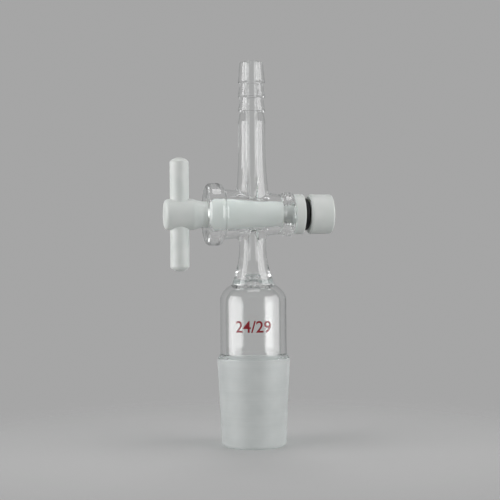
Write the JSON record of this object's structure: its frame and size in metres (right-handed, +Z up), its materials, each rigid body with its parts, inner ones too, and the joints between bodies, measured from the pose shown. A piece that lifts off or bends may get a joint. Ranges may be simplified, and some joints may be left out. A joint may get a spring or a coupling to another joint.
{
  "type": "glass stopcock adapter",
  "caption": "Glass hose adapter: a frosted ground cone below, a serrated hose end above, and a crosswise stopcock with a white T-handled plug between them.",
  "frame": {"origin": "centre of the ground cone's lower rim", "axes": "+Z up the tube towards the hose end, +X along the plug from its handle towards its nut"},
  "size_m": [0.0561, 0.024, 0.1268],
  "materials": {
    "clear_glass": "polished",
    "white_ptfe": "satin",
    "black_rubber": "matte"
  },
  "bodies": {
    "glass": {"glass_body": "clear_glass"},
    "plug": {"stopcock_plug": "white_ptfe", "washer": "white_ptfe"},
    "seal_ring": {"o_ring": "black_rubber"},
    "nut": {"nut": "white_ptfe"}
  },
  "joints": [
    {"name": "plug_turn", "type": "hinge", "parent": "glass", "child": "plug", "pos_m": [0, 0, 0.0764], "axis": [1, 0, 0], "continuous": true},
    {"name": "nut_travel", "type": "slide", "parent": "plug", "child": "seal_ring", "axis": [1, 0, 0], "range_m": [0, 0.0045]},
    {"name": "nut_turn", "type": "hinge", "parent": "seal_ring", "child": "nut", "pos_m": [0, 0, 0.0764], "axis": [1, 0, 0], "range_deg": [0, 1080]}
  ],
  "couplings": [
    {"joint": "nut_turn", "follows": "nut_travel", "rad_per_m": 4188.8}
  ]
}
